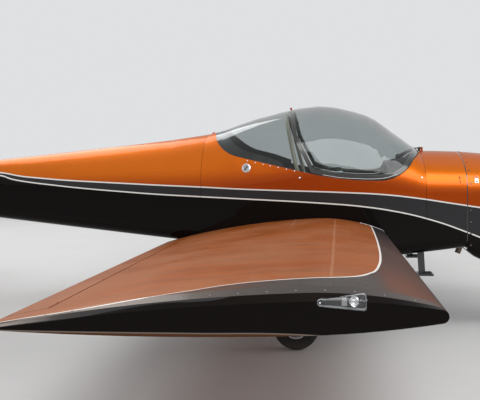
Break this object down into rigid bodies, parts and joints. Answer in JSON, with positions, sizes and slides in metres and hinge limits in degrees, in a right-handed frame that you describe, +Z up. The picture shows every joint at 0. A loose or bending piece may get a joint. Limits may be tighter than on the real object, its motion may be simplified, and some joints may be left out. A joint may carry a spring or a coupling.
{
  "type": "two-seat low-wing microlight aircraft",
  "caption": "Low-wing light aeroplane on nosewheel gear, bubble canopy that tips forward, hinged flaps, ailerons, elevator and rudder, turning wheels and propeller.",
  "frame": {"origin": "on the ground, midway between spinner tip and rudder, in the plane of symmetry", "axes": "+X forward, +Y to port, +Z up"},
  "size_m": [5.8, 6.56, 1.94],
  "materials": {
    "fuselage_paint": "metallic orange above, gloss black below",
    "lower_paint": "gloss",
    "wing_paint": "gloss",
    "tip_paint": "gloss",
    "glazing": "clear",
    "lamp_glass": "clear",
    "frame_paint": "satin",
    "engine_metal": "cast",
    "gear_paint": "satin",
    "steel": "brushed",
    "aluminium": "satin",
    "seat_cloth": "woven",
    "cabin_trim": "matte",
    "propeller_black": "satin",
    "spinner_paint": "gloss",
    "tyre": "rubber"
  },
  "bodies": {
    "airframe": {"boarding_steps": "gear_paint", "cabin_tub": "fuselage_paint", "canopy_hinge": "aluminium", "control_sticks": "frame_paint", "cowling_lower": "lower_paint", "cowling_upper": "fuselage_paint", "engine": "engine_metal", "exhaust_pipe": "steel", "fin": "wing_paint", "firewall": "steel", "forward_deck": "fuselage_paint", "fuel_cap": "aluminium", "instrument_panel": "cabin_trim", "main_leg_left": "gear_paint", "main_leg_right": "gear_paint", "nose_leg": "gear_paint", "rear_bulkhead": "cabin_trim", "rear_window": "glazing", "roll_bar": "frame_paint", "seat_base": "cabin_trim", "seat_left": "seat_cloth", "seat_right": "seat_cloth", "tail_cone": "fuselage_paint", "tailplane": "wing_paint", "tie_down_eyes": "steel", "tip_lamp_left": "lamp_glass", "tip_lamp_right": "lamp_glass", "wing_left": "wing_paint", "wing_right": "wing_paint", "wing_tip_left": "tip_paint", "wing_tip_right": "tip_paint"},
    "canopy": {"canopy_frame": "frame_paint", "canopy_glass": "glazing"},
    "right_aileron": {"aileron_right": "wing_paint"},
    "left_aileron": {"aileron_left": "wing_paint"},
    "right_flap": {"flap_right": "wing_paint"},
    "left_flap": {"flap_left": "wing_paint"},
    "elevator_body": {"elevator": "wing_paint"},
    "rudder_body": {"rudder": "wing_paint"},
    "propeller_body": {"propeller": "propeller_black", "spinner": "spinner_paint"},
    "steered_fork": {"nose_fork": "gear_paint"},
    "nose_wheel": {"tyre_nose": "tyre", "wheel_nose": "aluminium"},
    "right_wheel": {"tyre_main_right": "tyre", "wheel_main_right": "aluminium"},
    "left_wheel": {"tyre_main_left": "tyre", "wheel_main_left": "aluminium"}
  },
  "joints": [
    {"name": "propeller_turn", "type": "hinge", "parent": "airframe", "child": "propeller_body", "pos_m": [2.7, 0, 0.95], "axis": [1, 0, 0], "continuous": true},
    {"name": "right_wheel_turn", "type": "hinge", "parent": "airframe", "child": "right_wheel", "pos_m": [0.7, -0.905, 0.15], "axis": [0, 1, 0], "continuous": true},
    {"name": "left_wheel_turn", "type": "hinge", "parent": "airframe", "child": "left_wheel", "pos_m": [0.7, 0.905, 0.15], "axis": [0, 1, 0], "continuous": true},
    {"name": "nose_steering", "type": "hinge", "parent": "airframe", "child": "steered_fork", "pos_m": [2.184, 0, 0.372], "axis": [-0.1736, 0, 0.9848], "range_deg": [-25, 25]},
    {"name": "nose_wheel_turn", "type": "hinge", "parent": "steered_fork", "child": "nose_wheel", "pos_m": [2.2, 0, 0.15], "axis": [0, 1, 0], "continuous": true},
    {"name": "canopy_open", "type": "hinge", "parent": "airframe", "child": "canopy", "pos_m": [1.6, 0, 1.282], "axis": [0, 1, 0], "range_deg": [0, 55]},
    {"name": "right_aileron_hinge", "type": "hinge", "parent": "airframe", "child": "right_aileron", "pos_m": [-0.08499, -3.08, 0.76226], "axis": [-0.0001, 0.9995, -0.0309], "range_deg": [-20, 20]},
    {"name": "right_flap_hinge", "type": "hinge", "parent": "airframe", "child": "right_flap", "pos_m": [-0.08344, -1.74, 0.67341], "axis": [-0.0001, -0.9993, 0.038], "range_deg": [0, 35]},
    {"name": "left_aileron_hinge", "type": "hinge", "parent": "airframe", "child": "left_aileron", "pos_m": [-0.08518, 1.752, 0.72119], "axis": [0.0001, 0.9995, 0.0309], "range_deg": [-20, 20]},
    {"name": "left_flap_hinge", "type": "hinge", "parent": "airframe", "child": "left_flap", "pos_m": [-0.08331, 0.56, 0.62855], "axis": [0.0001, -0.9993, -0.038], "range_deg": [0, 35]},
    {"name": "elevator_hinge", "type": "hinge", "parent": "airframe", "child": "elevator_body", "pos_m": [-2.39, 0, 1.088], "axis": [0, 1, 0], "range_deg": [-25, 25]},
    {"name": "rudder_hinge", "type": "hinge", "parent": "airframe", "child": "rudder_body", "pos_m": [-2.63, 0, 0.93], "axis": [0, 0, 1], "range_deg": [-25, 25]}
  ],
  "couplings": [
    {"joint": "left_aileron_hinge", "follows": "right_aileron_hinge", "ratio": -1},
    {"joint": "left_flap_hinge", "follows": "right_flap_hinge", "ratio": 1}
  ]
}
